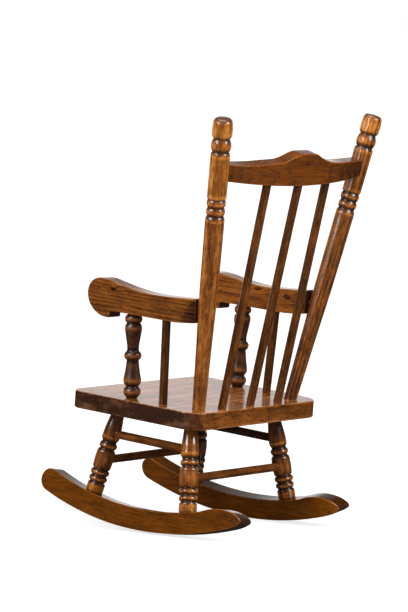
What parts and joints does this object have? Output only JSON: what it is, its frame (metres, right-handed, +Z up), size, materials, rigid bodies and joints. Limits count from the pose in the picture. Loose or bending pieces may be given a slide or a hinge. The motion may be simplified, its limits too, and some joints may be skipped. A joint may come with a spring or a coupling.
{
  "type": "rocking chair",
  "caption": "Small colonial-style rocking chair: plank seat on turned splayed legs and sawn rockers, turned back posts, bowed crest rail, spindle back and scrolled plank arms.",
  "frame": {"origin": "on the floor, midway between the two rockers, on the line where both rockers touch the floor when the empty chair is at rest, straight under its centre of gravity", "axes": "+Z up, +Y to the back of the chair, +X to the sitter's left; the chair is left-right symmetric about the YZ plane"},
  "size_m": [0.366, 0.4125, 0.6116],
  "materials": {
    "stained_board": "knotty pine board, walnut stain under gloss lacquer",
    "stained_turning": "lathe-turned softwood, walnut stain under gloss lacquer",
    "stained_dowel": "hardwood dowel, darker walnut stain under gloss lacquer"
  },
  "bodies": {
    "root": {"seat": "stained_board", "crest_rail": "stained_board", "arm_left": "stained_board", "arm_right": "stained_board", "rocker_left": "stained_board", "rocker_right": "stained_board", "back_post_left": "stained_turning", "back_post_right": "stained_turning", "arm_post_left": "stained_turning", "arm_post_right": "stained_turning", "leg_front_left": "stained_turning", "leg_front_right": "stained_turning", "leg_rear_left": "stained_turning", "leg_rear_right": "stained_turning", "back_spindle_left": "stained_dowel", "back_spindle_centre": "stained_dowel", "back_spindle_right": "stained_dowel", "arm_spindle_left": "stained_dowel", "arm_spindle_right": "stained_dowel", "stretcher_front": "stained_dowel", "stretcher_rear": "stained_dowel", "stretcher_left": "stained_dowel", "stretcher_right": "stained_dowel", "arm_dowel_left": "stained_dowel", "arm_dowel_right": "stained_dowel"}
  },
  "joints": []
}
